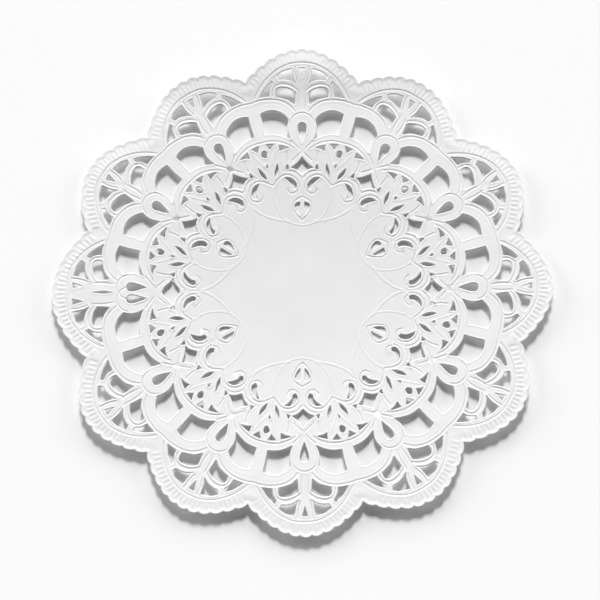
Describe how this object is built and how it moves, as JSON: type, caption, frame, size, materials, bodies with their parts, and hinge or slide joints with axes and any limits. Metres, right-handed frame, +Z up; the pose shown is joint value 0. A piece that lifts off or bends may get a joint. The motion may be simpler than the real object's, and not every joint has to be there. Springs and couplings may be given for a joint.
{
  "type": "paper lace doily",
  "caption": "Round white paper lace doily with a scalloped, pleated edge, cut-out and embossed lace rings and a plain centre panel, lying as a very shallow dish.",
  "frame": {"origin": "centre of the doily, on the surface that it lies on", "axes": "+Z up, out of the embossed face; +Y towards the scallop opposite the viewer; the doubled lace motif is on the -X side"},
  "size_m": [0.2038, 0.2063, 0.004],
  "materials": {
    "paper": "matte uncoated paper, embossed and die-cut, slightly translucent"
  },
  "bodies": {
    "root": {"doily": "paper"}
  },
  "joints": []
}
